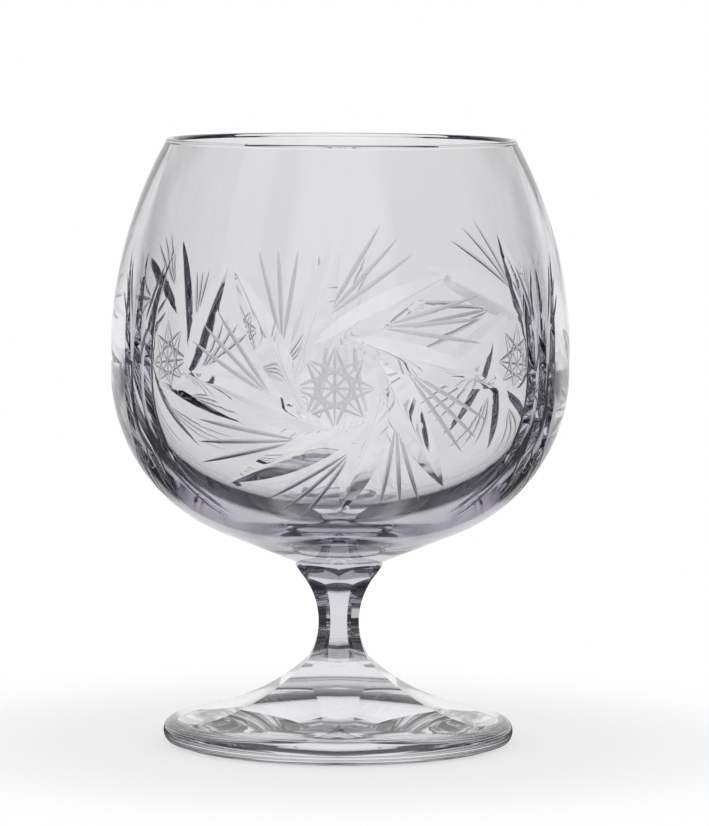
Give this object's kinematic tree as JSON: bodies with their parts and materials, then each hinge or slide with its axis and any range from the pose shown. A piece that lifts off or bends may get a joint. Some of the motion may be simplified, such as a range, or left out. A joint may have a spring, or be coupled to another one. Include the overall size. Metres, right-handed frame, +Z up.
{
  "type": "brandy snifter",
  "caption": "Cut-glass brandy snifter with a wide bowl drawn in to the rim, wheel-cut pinwheels, a short panelled stem and a round panelled foot.",
  "frame": {"origin": "middle of the ring under the foot, in the plane of the table", "axes": "+Z up along the glass's own axis, -Y towards the pinwheel that faces the viewer, +X to the viewer's right"},
  "size_m": [0.0946, 0.0946, 0.125],
  "materials": {
    "bowl_glass": "clear polished glass with fine matte wheel cuts",
    "stem_glass": "clear polished glass",
    "foot_glass": "clear polished glass"
  },
  "bodies": {
    "root": {"bowl": "bowl_glass", "stem": "stem_glass", "foot": "foot_glass"}
  },
  "joints": []
}
